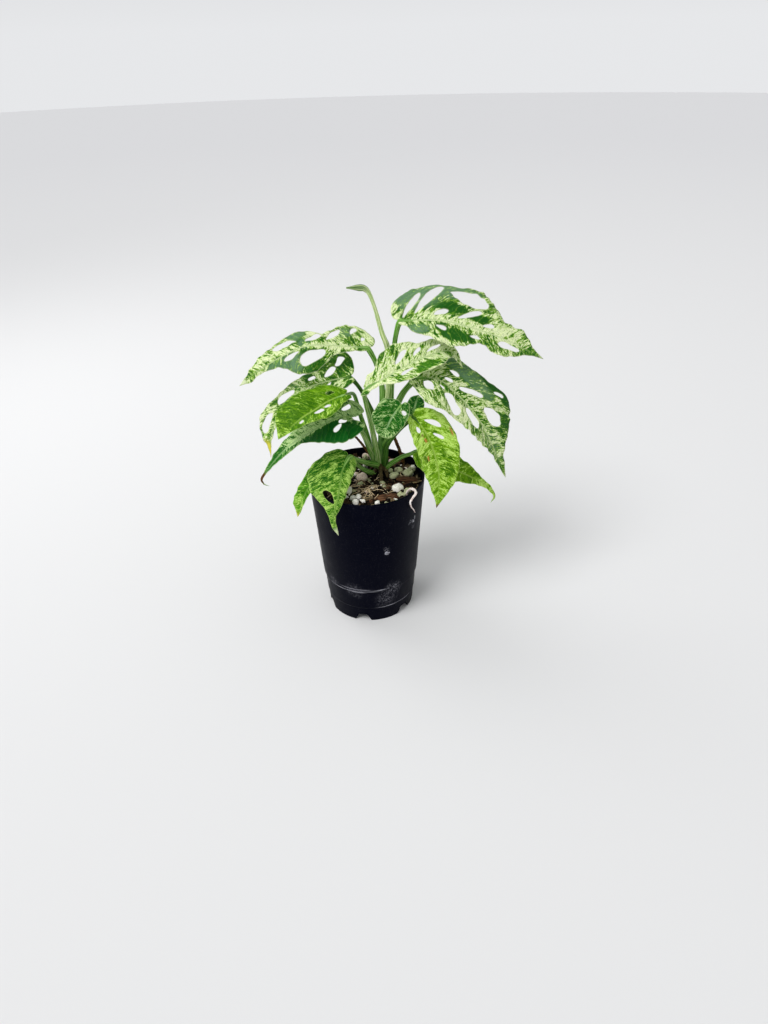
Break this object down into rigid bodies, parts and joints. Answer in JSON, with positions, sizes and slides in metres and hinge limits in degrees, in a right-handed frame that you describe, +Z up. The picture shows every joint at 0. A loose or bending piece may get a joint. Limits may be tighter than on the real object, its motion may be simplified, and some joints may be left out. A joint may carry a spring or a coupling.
{
  "type": "potted variegated swiss cheese vine",
  "caption": "Young variegated swiss cheese vine with holed, marbled leaves in a tall black plastic nursery pot.",
  "frame": {"origin": "centre of the bottom of the bounding box, which lies under the pot's base to its right", "axes": "+Z up, +X to the viewer's right and -Y towards the viewer in the picture"},
  "size_m": [0.2422, 0.1144, 0.2902],
  "materials": {
    "pot_plastic": "satin",
    "potting_mix": "matte",
    "stem_green": "satin",
    "leaf_variegated": "satin",
    "leaf_lime": "satin",
    "leaf_dark_green": "satin",
    "new_leaf": "satin",
    "dry_root": "matte",
    "pale_root": "satin"
  },
  "bodies": {
    "root": {"pot": "pot_plastic", "soil": "potting_mix", "main_stem": "stem_green", "new_leaf": "new_leaf", "dry_root_left": "dry_root", "dry_root_right": "dry_root", "pale_root_on_rim": "pale_root", "blade_upper_right": "leaf_variegated", "petiole_upper_right": "stem_green", "blade_upper_left": "leaf_variegated", "petiole_upper_left": "stem_green", "blade_centre": "leaf_variegated", "petiole_centre": "stem_green", "blade_right": "leaf_variegated", "petiole_right": "stem_green", "blade_far_left": "leaf_variegated", "petiole_far_left": "stem_green", "blade_lower_right": "leaf_lime", "petiole_lower_right": "stem_green", "blade_far_right": "leaf_lime", "petiole_far_right": "stem_green", "blade_left": "leaf_lime", "petiole_left": "stem_green", "blade_front_left": "leaf_lime", "petiole_front_left": "stem_green", "blade_front_far_left": "leaf_lime", "petiole_front_far_left": "stem_green", "blade_small_centre": "leaf_dark_green", "petiole_small_centre": "stem_green", "blade_small_right": "leaf_dark_green", "petiole_small_right": "stem_green", "blade_lower_left": "leaf_dark_green", "petiole_lower_left": "stem_green"}
  },
  "joints": []
}
